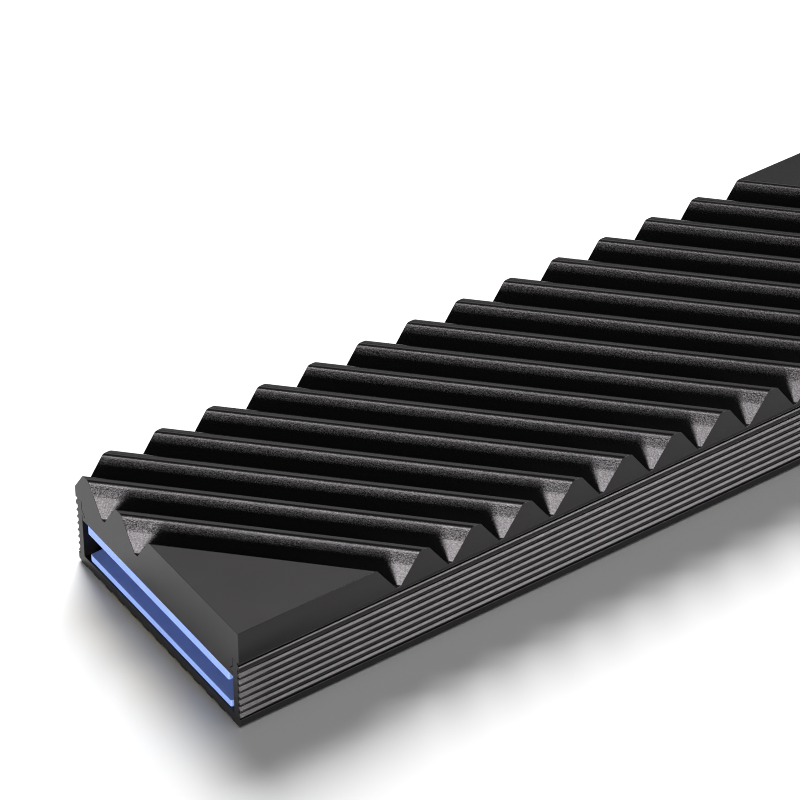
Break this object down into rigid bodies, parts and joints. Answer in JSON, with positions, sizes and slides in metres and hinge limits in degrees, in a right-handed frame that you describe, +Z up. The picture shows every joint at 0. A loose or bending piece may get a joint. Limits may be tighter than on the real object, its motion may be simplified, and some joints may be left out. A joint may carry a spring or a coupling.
{
  "type": "ssd heat sink",
  "caption": "Two-part clamshell heat sink for a slim drive board: a cover with slanting V-groove fins snaps into a ribbed tray, with soft heat pads on both sides of the board space.",
  "frame": {"origin": "middle of the footprint, on the plane that the ribs under the tray stand on", "axes": "+X along the length, from the end whose flat corner lies on the -Y side to the other end; +Y across the width; +Z up through the fins"},
  "size_m": [0.08, 0.0242, 0.01],
  "materials": {
    "tray_black": "black anodised extrusion, fine matte grain on the rib slopes",
    "cover_black": "black anodised, smooth satin faces and grainy groove flanks",
    "pad_blue": "soft matte silicone"
  },
  "bodies": {
    "root": {"base_tray": "tray_black", "finned_cover": "cover_black", "lower_thermal_pad": "pad_blue", "upper_thermal_pad": "pad_blue"}
  },
  "joints": []
}
